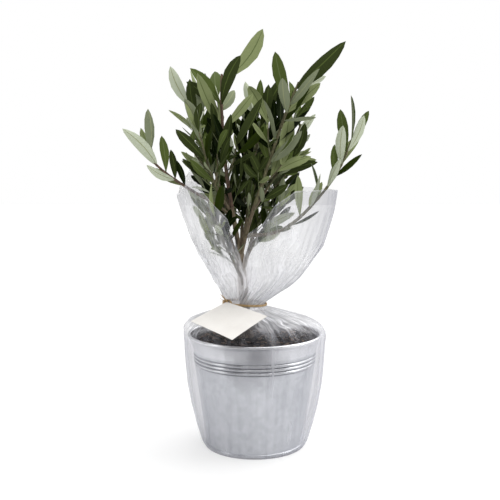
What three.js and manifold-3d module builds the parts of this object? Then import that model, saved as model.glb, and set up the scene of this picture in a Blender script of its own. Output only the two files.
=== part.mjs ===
// Potted olive tree: a young olive in a galvanised pot. Clear film is wrapped round the pot and gathered
// at the trunk by a raffia tie that holds a bare gift card. Millimetres, +Z up, the front faces -Y, and
// the origin is the centre of the flat underside.
import * as THREE from 'three';
import { mergeVertices } from 'three/addons/utils/BufferGeometryUtils.js';
import Module from 'manifold-3d';

const wasm = await Module();
wasm.setup();

// Driving dimensions.
const seat = 0.3; // clearance between pieces that touch
const filmSheet = 0.6;
const potFoot = filmSheet + seat;
const potHeight = 107;
const potWall = 1.2;
const baseRadius = 46.5;
const ridgeRadius = 57.5;
const rimRadius = 63;
const ridgeHeight = 84;
const ridgePitch = 3.3;
const soilTop = 103.5;
const soilDrop = 3; // the soil's edge lies lower than its crown
const trunkFoot = 97; // where the trunk's line starts, under the soil
const tieHeight = 135.3;
const neckAt = new THREE.Vector3(-9.5, 0, tieHeight);
const neckWide = 19;
const neckDeep = 15;
const strand = 1.5; // radius of the raffia
const flareDepth = 0.8; // the flare is shallower, front to back, than it is wide
const cardSide = 48;
const cardThick = 0.5;
const cardBow = 0.0011; // how fast its near and far corners droop
const cardAt = new THREE.Vector3(-23, -47, 129);
const cardTilt = [18.6, -2.9, 5]; // degrees about X, then Y, then Z
const leafThick = 0.8;
const lastPair = 0.96; // share of a stem at which its last leaves sit
const firstPairGap = 6; // from a bough's tip to the first leaves of its mass
const clearance = 2; // between the sample points of pieces that stay apart
const filmClearance = 3;
const lowestLeaf = tieHeight + 12;
const sampleRadius = 0.5;
const bladeShape = 0.21; // width of a blade as a share of its length

// How far each leaf strays from its limb's own figures.
const stray = { turn: 22, spread: 12, length: [0.8, 1.14], roll: 90, bend: [-12, 34] };

// The side twigs of every mass, and the pairs of leaves on them.
const twigRule = { last: 0.8, firstTurn: 45, nextTurn: 137.5, turnStray: 20, spread: 38, length: [26, 38],
  bend: 18, radii: [0.9, 0.6], pairs: 3, pairsFrom: 0.4, pairsTo: 0.97, leafScale: 0.85 };

// How far the film reaches from its own axis, by height, in the skirt and in the flare above the tie.
const skirtStations = [[0, 48.5], [5, 51.5], [22, 53.5], [52, 61.5], [80, 65.5], [107, 67.6], [114, 65.5],
  [119.5, 58], [125, 42], [129, 29], [131.3, 19.8], [tieHeight, neckWide]];
const flareStations = [[tieHeight, neckWide], [139, 20], [143, 25.5], [150, 32.5], [162, 43], [176, 52],
  [190, 60.4], [205, 66], [218, 70], [232, 73.5], [245, 75.5], [275, 78]];
// Where the flare's own axis stands, by height, and the height at which the skirt turns oval.
const flareAxisStations = [[tieHeight, neckAt.x], [150, -1.5], [162, 1.6], [190, 3.4], [245, 1.6]];
const ovalFrom = 116;
// Height of the film's free edge by the angle round the plant: right 0, back 90, left 180, front 270.
const edgeStations = [[0, 242], [45, 244], [90, 247], [127, 264], [138, 273], [154, 256], [180, 237],
  [203, 240], [218, 250], [224, 250], [238, 229], [247, 218], [255, 177], [262, 205], [273, 213], [282, 230],
  [297, 242], [330, 243], [360, 242]];

// The trunk and what grows from it. A limb springs from its parent a share of the way along it, and
// runs through its way points to its tip. Past the share called bare it carries leaves.
const trunkWay = [[-6, 0, trunkFoot], [-8.5, 0, 122], [-11, 0, 150], [-14, 0, 182]];
const trunkRadii = [7.5, 4.9, 4.5, 4];
const limbs = [
  { name: 'left_leader', from: 'trunk', at: 1, bare: 0.27, radii: [2.4, 1.1],
    way: [[-21.4, -5, 226], [-27, -7, 265], [-30.4, -8, 316], [-30.3, -8, 347.5]],
    pairs: 6, leaf: [36, 60], spread: [50, 42], turn: 120, lift: 0.1, twigs: 2, seed: 701 },
  { name: 'right_leader', from: 'trunk', at: 0.97, bare: 0.3, radii: [2.2, 1],
    way: [[-6.4, -3, 208], [2.9, -6, 237], [17.4, -10, 280.5], [27, -10, 309], [39.8, -10, 340]],
    pairs: 7, leaf: [36, 58], spread: [52, 30], turn: 135, lift: 0.05, twigs: 3, seed: 284 },
  { name: 'left_arm', from: 'left_leader', at: 0.2, bare: 0.36, radii: [1.6, 0.8],
    way: [[-31.7, -13, 226], [-58.9, -22, 243], [-78, -25, 256], [-92, -27, 268.6], [-103.4, -28, 284.5]],
    pairs: 7, leaf: [30, 46], spread: [54, 28], turn: 45, lift: 0.45, twigs: 0, seed: 343 },
  { name: 'right_arm', from: 'right_leader', at: 0.12, bare: 0.26, radii: [1.8, 0.8],
    way: [[17.8, -8, 202.4], [37.9, -12, 214], [60.7, -12, 237.6], [77.8, -11, 262], [90.3, -12, 292.6]],
    pairs: 9, leaf: [36, 38], spread: [54, 28], turn: 60, lift: 0.2, twigs: 0, seed: 371 },
  { name: 'upper_left', from: 'left_leader', at: 0.24, bare: 0.3, radii: [1.6, 0.8],
    way: [[-34, 4, 250], [-46, 8, 284], [-60, 10, 322]],
    pairs: 6, leaf: [38, 48], spread: [46, 24], turn: 135, lift: 0.15, twigs: 4, seed: 16 },
  { name: 'inner_left', from: 'left_leader', at: 0.22, bare: 0.32, radii: [1.5, 0.8],
    way: [[-33, -18, 240], [-43, -24, 266], [-48, -28, 288]],
    pairs: 6, leaf: [34, 40], spread: [50, 30], turn: 135, lift: 0.15, twigs: 3, seed: 167 },
  { name: 'centre', from: 'trunk', at: 0.93, bare: 0.3, radii: [1.9, 0.8],
    way: [[-8, 12, 212], [-3, 16, 252], [3, 16, 288], [8, 16, 314]],
    pairs: 8, leaf: [36, 42], spread: [48, 26], turn: 60, lift: 0.15, twigs: 5, seed: 297 },
  { name: 'inner_right', from: 'right_leader', at: 0.27, bare: 0.25, radii: [1.5, 0.8],
    way: [[16, 6, 250], [32, 13, 278], [44, 16, 304]],
    pairs: 6, leaf: [36, 42], spread: [50, 28], turn: 75, lift: 0.15, twigs: 3, seed: 119 },
  { name: 'low_left', from: 'trunk', at: 0.7, bare: 0.3, radii: [1.6, 0.8],
    way: [[-22, -8, 180], [-34, -14, 202], [-44, -16, 228]],
    pairs: 5, leaf: [30, 36], spread: [48, 30], turn: 75, lift: 0.15, twigs: 2, seed: 226 },
  { name: 'low_right', from: 'trunk', at: 0.84, bare: 0.3, radii: [1.6, 0.8],
    way: [[0, 14, 192], [16, 20, 214], [30, 22, 240]],
    pairs: 5, leaf: [32, 38], spread: [48, 30], turn: 60, lift: 0.15, twigs: 3, seed: 303 },
  { name: 'back_left', from: 'trunk', at: 0.8, bare: 0.3, radii: [2, 0.8],
    way: [[-26, 20, 202], [-40, 36, 244], [-50, 46, 282], [-54, 50, 298]],
    pairs: 7, leaf: [36, 42], spread: [50, 28], turn: 135, lift: 0.15, twigs: 4, seed: 97 },
  { name: 'back_right', from: 'trunk', at: 0.78, bare: 0.3, radii: [2, 0.8],
    way: [[2, 24, 206], [20, 42, 244], [36, 52, 280], [42, 55, 296]],
    pairs: 7, leaf: [36, 42], spread: [50, 28], turn: 165, lift: 0.15, twigs: 4, seed: 375 },
  { name: 'back_centre', from: 'trunk', at: 0.88, bare: 0.3, radii: [2, 0.8],
    way: [[-12, 24, 210], [-10, 42, 250], [-6, 56, 290], [-4, 60, 304]],
    pairs: 7, leaf: [36, 42], spread: [50, 28], turn: 75, lift: 0.15, twigs: 4, seed: 155 },
];

// Numbers and curves.

function seededDraw(seed) {
  let state = seed;
  return (low, high) => {
    state = (state * 16807) % 2147483647;
    return low + (high - low) * (state / 2147483647);
  };
}

function straightBetween(stations, at) {
  const last = stations.length - 1;
  let i = 0;
  while (i < last - 1 && at > stations[i + 1][0]) i += 1;
  const [x0, y0] = stations[i];
  const [x1, y1] = stations[i + 1];
  return y0 + (y1 - y0) * THREE.MathUtils.clamp((at - x0) / (x1 - x0), 0, 1);
}

// A smooth line through way points, walked by share of its length.
function traceLine(way) {
  const curve = new THREE.CatmullRomCurve3(way, false, 'catmullrom', 0.5);
  const points = curve.getPoints(60);
  const lengths = [0];
  for (let i = 1; i < points.length; i += 1) {
    lengths.push(lengths[i - 1] + points[i].distanceTo(points[i - 1]));
  }
  const length = lengths[lengths.length - 1];
  const pointAt = (share) => {
    const goal = THREE.MathUtils.clamp(share, 0, 1) * length;
    let i = 0;
    while (i < points.length - 2 && goal > lengths[i + 1]) i += 1;
    const t = (goal - lengths[i]) / (lengths[i + 1] - lengths[i]);
    return points[i].clone().lerp(points[i + 1], t);
  };
  const directionAt = (share) => {
    const ahead = pointAt(Math.min(share + 0.02, 1));
    return ahead.sub(pointAt(Math.max(share - 0.02, 0))).normalize();
  };
  return { length, pointAt, directionAt };
}

// Solids.

function closeMesh(geometry) {
  geometry.deleteAttribute('normal');
  geometry.deleteAttribute('uv');
  const merged = mergeVertices(geometry, 1e-4);
  const index = merged.index.array;
  const kept = [];
  for (let i = 0; i < index.length; i += 3) {
    const [a, b, c] = [index[i], index[i + 1], index[i + 2]];
    if (a !== b && b !== c && c !== a) kept.push(a, b, c);
  }
  merged.setIndex(kept);
  return merged;
}

function signedVolume(geometry) {
  const position = geometry.attributes.position;
  const index = geometry.index.array;
  const corner = [0, 1, 2].map(() => new THREE.Vector3());
  let volume = 0;
  for (let i = 0; i < index.length; i += 3) {
    corner.forEach((point, k) => point.fromBufferAttribute(position, index[i + k]));
    volume += corner[0].dot(corner[1].clone().cross(corner[2])) / 6;
  }
  return volume;
}

function faceOutward(geometry) {
  if (signedVolume(geometry) < 0) {
    const index = geometry.index.array;
    for (let i = 0; i < index.length; i += 3) [index[i], index[i + 1]] = [index[i + 1], index[i]];
  }
  return geometry;
}

function toSolid(geometry) {
  const closed = faceOutward(closeMesh(geometry));
  const vertProperties = new Float32Array(closed.attributes.position.array);
  const triVerts = new Uint32Array(closed.index.array);
  return new wasm.Manifold(new wasm.Mesh({ numProp: 3, vertProperties, triVerts }));
}

function toGeometry(solid) {
  const mesh = solid.getMesh();
  const geometry = new THREE.BufferGeometry();
  geometry.setAttribute('position', new THREE.BufferAttribute(new Float32Array(mesh.vertProperties), 3));
  geometry.setIndex(Array.from(mesh.triVerts));
  return geometry;
}

function joinAll(solids) {
  return solids.reduce((whole, piece) => whole.add(piece));
}

// The largest body of a solid that a cut may have left in several.
function mainBody(solid) {
  const bodies = solid.decompose();
  return bodies.reduce((best, body) => (body.volume() > best.volume() ? body : best));
}

// A turned skin whose rings are numbered: place gives each ring's point at each angle.
function turnedSkin(rings, sides, place) {
  const marks = Array.from({ length: rings }, (_, ring) => new THREE.Vector2(1, ring));
  const geometry = new THREE.LatheGeometry(marks, sides);
  const position = geometry.attributes.position;
  for (let i = 0; i < position.count; i += 1) {
    const angle = Math.atan2(position.getX(i), position.getZ(i));
    const point = place(Math.round(position.getY(i)), angle);
    position.setXYZ(i, point.x, point.y, point.z);
  }
  return geometry;
}

// A tapering limb: a cylinder bent along a line between two shares of it.
function limbSolid(line, start, end, radiusAt, sides, steps) {
  const geometry = new THREE.CylinderGeometry(1, 1, 1, sides, steps);
  const position = geometry.attributes.position;
  const first = line.directionAt(start);
  const level = new THREE.Vector3(0, 1, 0).cross(first).normalize();
  for (let i = 0; i < position.count; i += 1) {
    const share = start + (end - start) * (position.getY(i) + 0.5);
    const along = line.directionAt(share);
    const side = level.clone().addScaledVector(along, -level.dot(along)).normalize();
    const up = along.clone().cross(side);
    const radius = radiusAt(share);
    const point = line.pointAt(share);
    point.addScaledVector(side, position.getX(i) * radius);
    point.addScaledVector(up, position.getZ(i) * radius);
    position.setXYZ(i, point.x, point.y, point.z);
  }
  return toSolid(geometry);
}

// The pot.

// A bead round the foot, three ridges, a flared collar and a rolled rim.
function potOutline() {
  const outer = [[baseRadius - 1.5, potFoot], [baseRadius + 0.9, potFoot + 0.6]];
  outer.push([baseRadius + 0.9, potFoot + 2.2], [baseRadius + 0.2, potFoot + 3.2]);
  for (const rung of [-1, 0, 1]) {
    const middle = ridgeHeight + rung * ridgePitch;
    const reach = ridgeRadius + rung * 0.25;
    outer.push([reach - 0.4, middle - ridgePitch / 2], [reach + 0.9, middle]);
  }
  outer.push([ridgeRadius + 0.1, ridgeHeight + 1.5 * ridgePitch], [rimRadius - 0.5, potHeight - 4]);
  outer.push([rimRadius + 1, potHeight - 2.6], [rimRadius + 1, potHeight - 0.8]);
  outer.push([rimRadius - 0.2, potHeight]);
  const inner = [[rimRadius - 1.6, potHeight - 1], [ridgeRadius - potWall, ridgeHeight],
    [baseRadius - potWall, potFoot + potWall]];
  return [[0, potFoot], ...outer, ...inner, [0, potFoot + potWall]];
}

function makePot() {
  const outline = potOutline().map(([radius, height]) => new THREE.Vector2(radius, height));
  const geometry = new THREE.LatheGeometry(outline, 40);
  geometry.rotateX(Math.PI / 2);
  return toSolid(geometry);
}

function innerRadius(height) {
  const stations = [[potFoot + potWall, baseRadius - potWall], [ridgeHeight, ridgeRadius - potWall],
    [potHeight - 1, rimRadius - 1.6]];
  return straightBetween(stations, height);
}

function makeSoil() {
  const foot = potFoot + potWall + seat;
  const edge = soilTop - soilDrop;
  const levels = [foot, ridgeHeight, edge];
  const wall = levels.map((height) => [innerRadius(height) - seat, height]);
  const outline = [[0, foot], ...wall, [30, soilTop], [0, soilTop]];
  const geometry = new THREE.LatheGeometry(outline.map(([r, z]) => new THREE.Vector2(r, z)), 40);
  geometry.rotateX(Math.PI / 2);
  return toSolid(geometry);
}

// The film.

function skirtAxis(height) {
  const share = THREE.MathUtils.clamp((height - potHeight) / (tieHeight - potHeight), 0, 1);
  return neckAt.x * share;
}

function flareAxis(height) {
  return straightBetween(flareAxisStations, height);
}

// Front-to-back share of the width: round at the pot, an oval at the neck.
function skirtDepth(height) {
  const share = THREE.MathUtils.clamp((height - ovalFrom) / (tieHeight - ovalFrom), 0, 1);
  return 1 + (neckDeep / neckWide - 1) * share;
}

function skirtPoint(height, angle, inset) {
  const reach = straightBetween(skirtStations, height) - inset;
  const x = skirtAxis(height) + reach * Math.cos(angle);
  const y = reach * skirtDepth(height) * Math.sin(angle);
  return new THREE.Vector3(x, y, height);
}

// Up the outside from the middle of the floor to the tie, and back down the inside.
function makeSkirt() {
  const heights = skirtStations.map(([height]) => height);
  const top = heights.length - 1;
  heights[top] = tieHeight - seat / 2;
  const outside = (level, angle) => skirtPoint(heights[level], angle, 0);
  const inside = (level, angle) => {
    const onDome = heights[level] > potHeight && level < top;
    const point = skirtPoint(Math.max(heights[level], filmSheet), angle, filmSheet * (onDome ? 2 : 1));
    if (onDome) point.z -= filmSheet / 2;
    return point;
  };
  const last = 2 * heights.length + 1;
  const place = (ring, angle) => {
    if (ring === 0) return new THREE.Vector3(0, 0, 0);
    if (ring === last) return new THREE.Vector3(0, 0, filmSheet);
    return ring <= top + 1 ? outside(ring - 1, angle) : inside(last - 1 - ring, angle);
  };
  return toSolid(turnedSkin(last + 1, 32, place));
}

// Half the flare's width and half its depth.
function flareReach(height) {
  const wide = straightBetween(flareStations, height);
  const opened = Math.min((height - tieHeight) / 20, 1);
  return [wide, wide * THREE.MathUtils.lerp(neckDeep / neckWide, flareDepth, opened)];
}

function edgeHeight(angle) {
  const degrees = THREE.MathUtils.euclideanModulo(THREE.MathUtils.radToDeg(angle), 360);
  return straightBetween(edgeStations, degrees);
}

function flarePoint(share, angle, inset) {
  const foot = tieHeight + seat / 2;
  const height = foot + (edgeHeight(angle) - foot) * share;
  const [wide, deep] = flareReach(height);
  const x = flareAxis(height) + (wide - inset) * Math.cos(angle);
  return new THREE.Vector3(x, (deep - inset) * Math.sin(angle), height);
}

function makeFlare() {
  const shares = [0, 0.03, 0.09, 0.18, 0.31, 0.48, 0.72, 1];
  const rings = shares.length;
  const place = (ring, angle) => {
    const back = ring >= rings && ring < 2 * rings;
    const share = back ? shares[2 * rings - 1 - ring] : shares[ring % (2 * rings)];
    return flarePoint(share, angle, back ? filmSheet * (1.5 - share / 2) : 0);
  };
  return toSolid(turnedSkin(2 * rings + 1, 44, place));
}

// The tie, its knot and the card.

function tiePoint(angle, reach) {
  const x = neckAt.x + (neckWide + reach) * Math.cos(angle);
  return new THREE.Vector3(x, (neckDeep + reach) * Math.sin(angle), tieHeight - 0.06 * (x - neckAt.x));
}

function makeTie() {
  const ring = new THREE.TorusGeometry(10, strand, 8, 24);
  const position = ring.attributes.position;
  for (let i = 0; i < position.count; i += 1) {
    const angle = Math.atan2(position.getY(i), position.getX(i));
    const reach = Math.hypot(position.getX(i), position.getY(i)) - 10;
    const point = tiePoint(angle, 3 * seat + strand + reach);
    position.setXYZ(i, point.x, point.y, point.z + position.getZ(i));
  }
  const knot = new THREE.SphereGeometry(1, 8, 6);
  const at = tiePoint(THREE.MathUtils.degToRad(222), seat + strand + 1.6);
  knot.scale(3.4, 2.6, 3.2);
  knot.translate(at.x, at.y, at.z + 0.6);
  return toSolid(ring).add(toSolid(knot));
}

function makeCard() {
  const geometry = new THREE.BoxGeometry(cardSide, cardSide, cardThick, 4, 4, 1);
  geometry.rotateZ(THREE.MathUtils.degToRad(45));
  const position = geometry.attributes.position;
  for (let i = 0; i < position.count; i += 1) {
    position.setZ(i, position.getZ(i) - cardBow * position.getY(i) ** 2);
  }
  return geometry;
}

// The plant.

const trunkLine = traceLine(trunkWay.map((point) => new THREE.Vector3(...point)));
const trunkRadiusAt = (share) => {
  const flare = Math.max(0, 1 - share / 0.18) ** 2;
  const plain = THREE.MathUtils.lerp(trunkRadii[1], trunkRadii[3], share);
  return plain + (trunkRadii[0] - trunkRadii[1]) * flare;
};

// Every limb's line and girth, in the order in which they grow.
function growLimbs() {
  const grown = new Map([['trunk', { line: trunkLine, radiusAt: trunkRadiusAt }]]);
  for (const limb of limbs) {
    const start = grown.get(limb.from).line.pointAt(limb.at);
    const line = traceLine([start, ...limb.way.map((point) => new THREE.Vector3(...point))]);
    const radiusAt = (share) => THREE.MathUtils.lerp(...limb.radii, share);
    grown.set(limb.name, { ...limb, line, radiusAt });
  }
  return grown;
}

const grownLimbs = growLimbs();

// Sample points with their own radii, each belonging to a limb, by which pieces keep apart.
const taken = [];

function takeLimb(owner, line, start, end, radiusAt) {
  const count = Math.ceil(((end - start) * line.length) / 2);
  for (let i = 0; i <= count; i += 1) {
    const share = start + ((end - start) * i) / count;
    taken.push({ owner, point: line.pointAt(share), radius: radiusAt(share) });
  }
}

function keepsClear(owner, samples) {
  for (const { point, radius } of samples) {
    if (point.z < lowestLeaf) return false;
    for (const other of taken) {
      if (other.owner !== owner) {
        const reach = radius + other.radius + clearance;
        if (point.distanceToSquared(other.point) < reach * reach) return false;
      }
    }
    if (nearFilm(point)) return false;
  }
  return true;
}

function nearFilm(point) {
  const axis = flareAxis(point.z);
  const [wide, deep] = flareReach(point.z);
  const x = (point.x - axis) / wide;
  const y = point.y / deep;
  const angle = Math.atan2(y, x);
  if (point.z > edgeHeight(angle) + filmClearance) return false;
  return Math.abs(Math.hypot(x, y) - 1) * deep < filmClearance;
}

// Half the blade's width by share of its length: a short stalk, then a long oval with a fine tip.
function bladeWidth(share) {
  return Math.max(0.12, Math.sin(Math.PI * share ** 0.82) ** 0.8);
}

function leafPoint(leaf, share, across, thick) {
  const turn = leaf.bend * share;
  const ahead = Math.abs(leaf.bend) < 1e-3 ? share : Math.sin(turn) / leaf.bend;
  const rise = Math.abs(leaf.bend) < 1e-3 ? 0 : (1 - Math.cos(turn)) / leaf.bend;
  const point = leaf.base.clone();
  point.addScaledVector(leaf.axis, ahead * leaf.length);
  point.addScaledVector(leaf.face, rise * leaf.length + thick);
  return point.addScaledVector(leaf.side, across * leaf.width * 0.5 * bladeWidth(share));
}

function leafSamples(leaf) {
  const samples = [];
  for (let i = 1; i <= 12; i += 1) {
    for (const across of [-0.8, 0, 0.8]) {
      samples.push({ point: leafPoint(leaf, i / 12, across, 0), radius: sampleRadius });
    }
  }
  return samples;
}

function twigSamples(line) {
  const samples = [];
  for (let step = 0.2; step <= 1; step += 0.1) {
    samples.push({ point: line.pointAt(step), radius: twigRule.radii[0] });
  }
  return samples;
}

// Flat beneath with a low keel above: two edges and a keel round the blade, and two rings along it.
function leafSolid(leaf) {
  const geometry = new THREE.SphereGeometry(1, 3, 3);
  const position = geometry.attributes.position;
  const shares = [0, 0.34, 0.68, 1];
  for (let i = 0; i < position.count; i += 1) {
    const polar = Math.acos(THREE.MathUtils.clamp(position.getY(i), -1, 1));
    const share = shares[Math.round((polar * 3) / Math.PI)];
    const inside = share > 0 && share < 1;
    const keel = inside && position.getX(i) < -0.5;
    const across = inside && !keel ? Math.sign(position.getZ(i)) : 0;
    const point = leafPoint(leaf, share, across, keel ? leafThick : 0);
    position.setXYZ(i, point.x, point.y, point.z);
  }
  return toSolid(geometry);
}

// A leaf on a line: turn is its angle round the line, and spread its angle away from it.
function makeLeaf(line, share, turn, spread, length, lift, roll, bend) {
  const along = line.directionAt(share);
  const level = along.clone().cross(new THREE.Vector3(0, 1, 0)).normalize();
  const out = level.applyAxisAngle(along, turn);
  const axis = along.clone().multiplyScalar(Math.cos(spread)).addScaledVector(out, Math.sin(spread));
  axis.z += lift;
  axis.normalize();
  const face = along.clone().addScaledVector(axis, -along.dot(axis)).normalize();
  face.applyAxisAngle(axis, roll);
  const side = axis.clone().cross(face);
  return { base: line.pointAt(share), axis, face, side, length, width: length * bladeShape, bend };
}

const degrees = THREE.MathUtils.degToRad;

// Opposite pairs, each turned a quarter from the last, along a stretch of a line.
function growPairs(limb, line, start, end, pairs, draw, scale) {
  const leaves = [];
  for (let pair = 0; pair < pairs; pair += 1) {
    const along = pairs === 1 ? 1 : pair / (pairs - 1);
    const share = start + (end - start) * along;
    for (const half of [0, 180]) {
      const turn = degrees(limb.turn + half + pair * 90 + draw(-stray.turn, stray.turn));
      const lean = THREE.MathUtils.lerp(...limb.spread, along) + draw(-stray.spread, stray.spread);
      const spread = degrees(lean);
      const length = THREE.MathUtils.lerp(...limb.leaf, along) * draw(...stray.length) * scale;
      const roll = degrees(draw(-stray.roll, stray.roll));
      const bend = degrees(draw(...stray.bend));
      leaves.push(makeLeaf(line, share, turn, spread, length, limb.lift, roll, bend));
    }
  }
  return leaves;
}

// A mass: its stem, the side twigs that branch from it by a seeded rule, and the leaves on both.
function growMass(limb) {
  const draw = seededDraw(limb.seed);
  const firstPair = limb.bare + firstPairGap / limb.line.length;
  const mass = { limb, twigs: [], leaves: [] };
  const take = (samples) => taken.push(...samples.map((sample) => ({ ...sample, owner: limb.name })));
  const keepLeaves = (leaves) => {
    for (const leaf of leaves) {
      const samples = leafSamples(leaf);
      if (keepsClear(limb.name, samples)) {
        take(samples);
        mass.leaves.push(leaf);
      }
    }
  };
  keepLeaves(growPairs(limb, limb.line, firstPair, lastPair, limb.pairs, draw, 1));
  for (let i = 0; i < limb.twigs; i += 1) {
    const share = firstPair + (twigRule.last - firstPair) * ((i + 0.5) / limb.twigs);
    const angle = limb.turn + twigRule.firstTurn + i * twigRule.nextTurn;
    const turn = degrees(angle + draw(-twigRule.turnStray, twigRule.turnStray));
    const length = draw(...twigRule.length);
    const lean = degrees(twigRule.spread);
    const twig = makeLeaf(limb.line, share, turn, lean, length, limb.lift, 0, degrees(twigRule.bend));
    const line = traceLine([0, 0.5, 1].map((step) => leafPoint(twig, step, 0, 0)));
    const samples = twigSamples(line);
    if (keepsClear(limb.name, samples)) {
      take(samples);
      mass.twigs.push(line);
      const { pairsFrom, pairsTo, pairs, leafScale } = twigRule;
      keepLeaves(growPairs(limb, line, pairsFrom, pairsTo, pairs, draw, leafScale));
    }
  }
  return mass;
}

function massSolid({ limb, twigs, leaves }) {
  const foot = limb.bare + seat / limb.line.length;
  const steps = Math.max(3, Math.round(((1 - foot) * limb.line.length) / 20));
  const pieces = [limbSolid(limb.line, foot, 1, limb.radiusAt, 5, steps)];
  for (const line of twigs) {
    pieces.push(limbSolid(line, 0, 1, (share) => THREE.MathUtils.lerp(...twigRule.radii, share), 3, 2));
  }
  for (const leaf of leaves) pieces.push(leafSolid(leaf));
  return mainBody(joinAll(pieces));
}

// The trunk, cut flat where it meets the soil.
function makeTrunk() {
  const ground = new THREE.BoxGeometry(60, 60, 20);
  ground.translate(trunkWay[0][0], trunkWay[0][1], soilTop + seat - 10);
  return limbSolid(trunkLine, 0, 1, trunkRadiusAt, 12, 10).subtract(toSolid(ground));
}

// Boughs, each cut clear of the limbs that grew before it.
function boughSolids() {
  const cutters = [limbSolid(trunkLine, 0, 1, (share) => trunkRadiusAt(share) + seat, 12, 10)];
  const boughs = new Map();
  for (const limb of limbs) {
    const { line, radiusAt } = grownLimbs.get(limb.name);
    const steps = Math.max(3, Math.round((limb.bare * line.length) / 8));
    let bough = limbSolid(line, 0, limb.bare, radiusAt, 6, steps);
    for (const cutter of cutters) bough = bough.subtract(cutter);
    boughs.set(limb.name, mainBody(bough));
    cutters.push(limbSolid(line, 0, limb.bare + 0.03, (share) => radiusAt(share) + seat, 6, steps));
  }
  return boughs;
}

// Finishes.

function zinc() {
  return new THREE.MeshStandardMaterial({ color: 0xb4b9bd, roughness: 0.38, metalness: 0.9 });
}

function earth() {
  return new THREE.MeshStandardMaterial({ color: 0x2a221c, roughness: 0.95, metalness: 0 });
}

function clearFilm() {
  return new THREE.MeshStandardMaterial({ color: 0xdfe3e5, roughness: 0.2, metalness: 0 });
}

function raffia() {
  return new THREE.MeshStandardMaterial({ color: 0xb08a52, roughness: 0.8, metalness: 0 });
}

function card() {
  return new THREE.MeshStandardMaterial({ color: 0xe9e6df, roughness: 0.7, metalness: 0 });
}

function bark() {
  return new THREE.MeshStandardMaterial({ color: 0x6f5a41, roughness: 0.85, metalness: 0 });
}

function foliage() {
  return new THREE.MeshStandardMaterial({ color: 0x56663a, roughness: 0.55, metalness: 0 });
}

// The assembly.

const tree = new THREE.Group();

function addPiece(name, geometry, material) {
  const mesh = new THREE.Mesh(geometry, material);
  mesh.name = name;
  tree.add(mesh);
  return mesh;
}

addPiece('pot', toGeometry(makePot()), zinc());
addPiece('soil', toGeometry(makeSoil()), earth());
addPiece('film_skirt', toGeometry(makeSkirt()), clearFilm());
addPiece('film_flare', toGeometry(makeFlare()), clearFilm());
addPiece('raffia_tie', toGeometry(makeTie()), raffia());
const giftCard = addPiece('gift_card', closeMesh(makeCard()), card());
giftCard.position.copy(cardAt);
giftCard.rotation.set(...cardTilt.map(THREE.MathUtils.degToRad), 'ZYX');

addPiece('trunk', toGeometry(makeTrunk()), bark());
for (const [name, solid] of boughSolids()) addPiece(`bough_${name}`, toGeometry(solid), bark());

takeLimb('trunk', trunkLine, 0, 1, trunkRadiusAt);
for (const limb of limbs) {
  const { line, radiusAt, bare } = grownLimbs.get(limb.name);
  takeLimb(`bough_${limb.name}`, line, 0, bare, radiusAt);
  takeLimb(limb.name, line, bare, 1, radiusAt);
}
for (const limb of limbs) {
  const mass = growMass(grownLimbs.get(limb.name));
  addPiece(`leaves_${limb.name}`, toGeometry(massSolid(mass)), foliage());
}

export default tree;
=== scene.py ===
from functools import partial
from math import atan2, ceil, copysign, cos, degrees, exp, hypot, pi, radians, sin, sqrt, tau

import bmesh
import bpy
import numpy as np
from mathutils import Matrix, Vector, noise


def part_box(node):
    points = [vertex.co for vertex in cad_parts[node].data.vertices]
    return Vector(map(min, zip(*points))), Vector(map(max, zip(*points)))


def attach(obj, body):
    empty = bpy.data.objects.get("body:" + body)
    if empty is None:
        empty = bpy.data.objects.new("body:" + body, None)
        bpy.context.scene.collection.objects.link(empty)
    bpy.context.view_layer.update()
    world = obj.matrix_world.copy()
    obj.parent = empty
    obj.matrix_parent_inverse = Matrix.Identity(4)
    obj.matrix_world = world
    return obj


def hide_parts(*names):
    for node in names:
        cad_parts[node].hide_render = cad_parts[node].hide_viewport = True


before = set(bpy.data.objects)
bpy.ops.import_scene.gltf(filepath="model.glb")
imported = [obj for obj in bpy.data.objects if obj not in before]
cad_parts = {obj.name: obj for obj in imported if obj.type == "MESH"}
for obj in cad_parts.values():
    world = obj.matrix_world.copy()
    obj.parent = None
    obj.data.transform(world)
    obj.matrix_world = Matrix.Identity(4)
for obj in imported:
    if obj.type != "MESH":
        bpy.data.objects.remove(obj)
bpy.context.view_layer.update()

metre = 0.001
scene = bpy.context.scene


def boxOf(node):
    low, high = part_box(node)
    return low / metre, high / metre


def maths(operation, swapped=False):
    def apply(wire, other):
        first, second = (other, wire) if swapped else (wire, other)
        return wire.finish.work(operation, first, second)

    return apply


class Wire:
    # A shader value that adds and scales as a number does.
    __add__ = __radd__ = maths("ADD")
    __sub__ = maths("SUBTRACT")
    __rsub__ = maths("SUBTRACT", True)
    __mul__ = __rmul__ = maths("MULTIPLY")
    __truediv__ = maths("DIVIDE")
    __pow__ = maths("POWER")

    def __init__(self, finish, socket):
        self.finish = finish
        self.socket = socket

    def clamp(self):
        return self.finish.work("MINIMUM", self.finish.work("MAXIMUM", self, 0), 1)


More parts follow.
